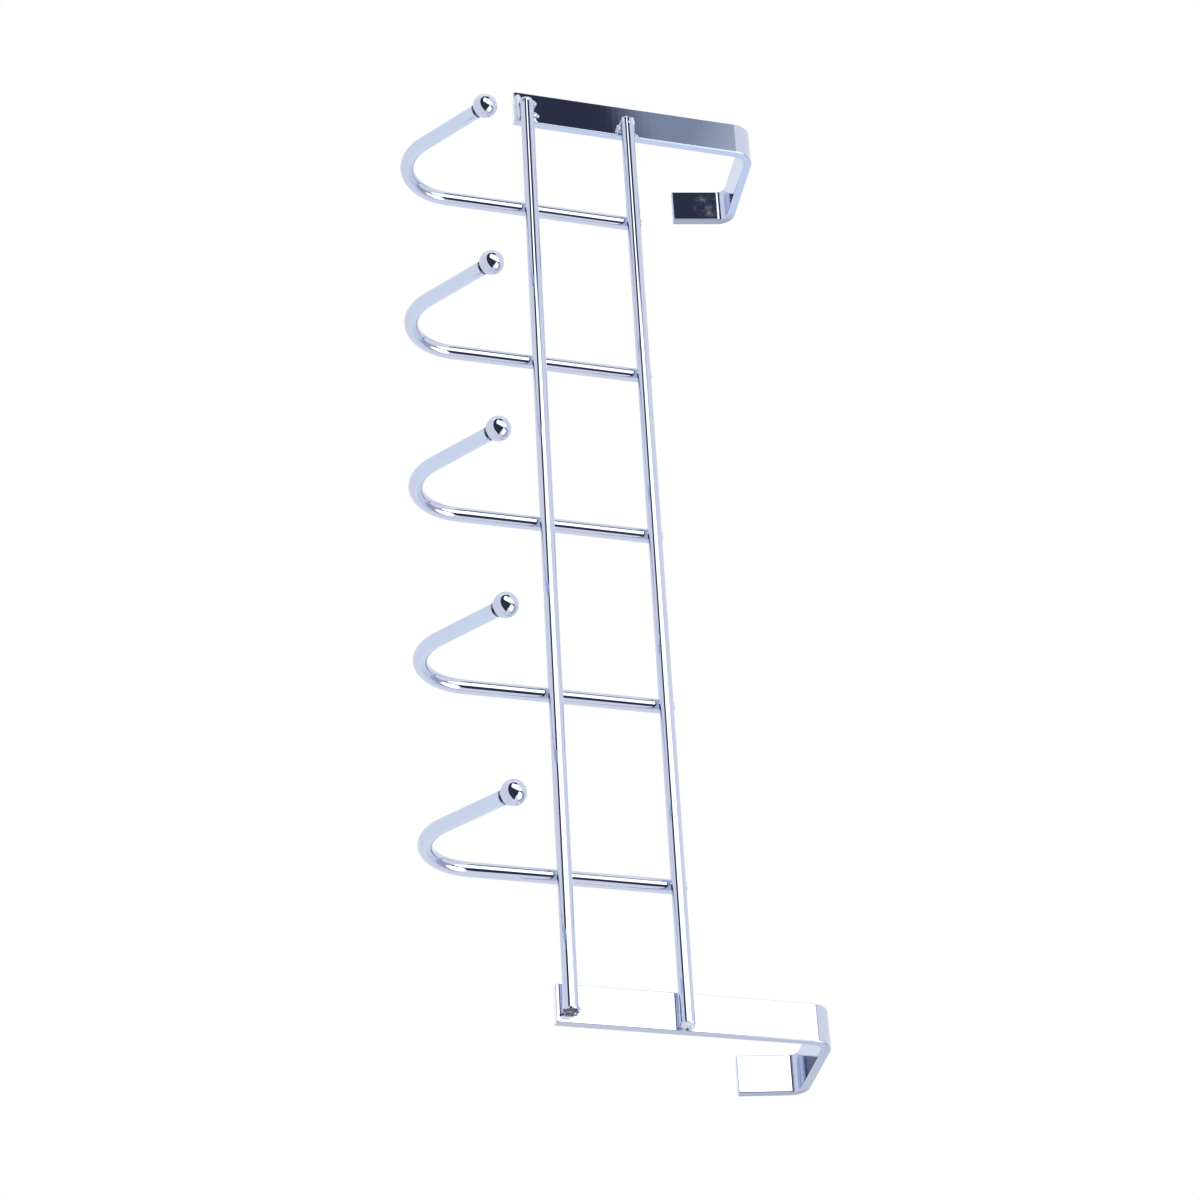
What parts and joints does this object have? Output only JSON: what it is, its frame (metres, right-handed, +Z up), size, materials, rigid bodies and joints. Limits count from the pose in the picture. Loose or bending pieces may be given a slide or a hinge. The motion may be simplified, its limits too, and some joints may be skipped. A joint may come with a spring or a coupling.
{
  "type": "over door hook rack",
  "caption": "Chromed wire rack of coat hooks on two bent flat-bar hangers that hook over the top of a door; round rails cross the hangers and each bent hook ends in a ball.",
  "frame": {"origin": "midway between the two hangers, on the line where the door's room-side face meets its top edge", "axes": "+X along the rails to the right as seen from the room, +Y through the door away from the room, +Z up"},
  "size_m": [0.3608, 0.1002, 0.1401],
  "materials": {
    "chrome_wire": "bright chrome plating over drawn round steel wire, with a few faint specks on the rails",
    "chrome_bar": "bright chrome plating over bent flat steel bar, with small weld beads and spatter beside the rails",
    "chrome_ball": "bright chrome plating over a steel ball"
  },
  "bodies": {
    "root": {"lower_rail": "chrome_wire", "upper_rail": "chrome_wire", "left_hanger": "chrome_bar", "right_hanger": "chrome_bar", "hook_wire_1": "chrome_wire", "tip_ball_1": "chrome_ball", "hook_wire_2": "chrome_wire", "tip_ball_2": "chrome_ball", "hook_wire_3": "chrome_wire", "tip_ball_3": "chrome_ball", "hook_wire_4": "chrome_wire", "tip_ball_4": "chrome_ball", "hook_wire_5": "chrome_wire", "tip_ball_5": "chrome_ball"}
  },
  "joints": []
}
